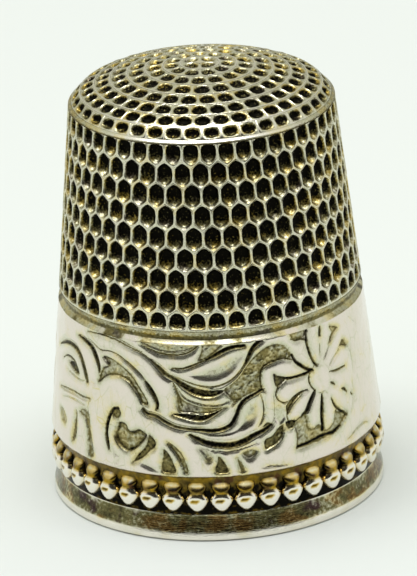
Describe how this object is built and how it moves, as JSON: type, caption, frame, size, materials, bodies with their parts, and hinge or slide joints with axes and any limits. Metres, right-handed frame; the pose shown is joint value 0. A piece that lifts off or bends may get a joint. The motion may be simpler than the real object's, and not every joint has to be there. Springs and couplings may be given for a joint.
{
  "type": "thimble",
  "caption": "Tapered silver sewing thimble with a knurled wall and domed pitted cap, an engraved scroll and daisy band, a beaded wire and a rolled rim.",
  "frame": {"origin": "centre of the rim's standing face, on the thimble's axis", "axes": "+Z along the axis from the open mouth towards the closed cap; -Y is the side where the scrollwork's middle lies"},
  "size_m": [0.018, 0.018, 0.0238],
  "materials": {
    "knurled_silver": "aged sterling silver, satin on the webs, with black oxide in the pits",
    "worn_silver": "sterling silver worn smooth, with fine scratches and dark oxide left in the cuts",
    "beaded_silver": "sterling silver, bright on the worn bead tops, with golden brown tarnish between",
    "silver_solder": "dull tarnished silver solder"
  },
  "bodies": {
    "root": {"cap": "knurled_silver", "side_wall": "knurled_silver", "scroll_band": "worn_silver", "bead_wire": "beaded_silver", "rim_wire": "worn_silver", "cap_solder": "silver_solder", "band_solder": "silver_solder", "rim_solder": "silver_solder"}
  },
  "joints": []
}
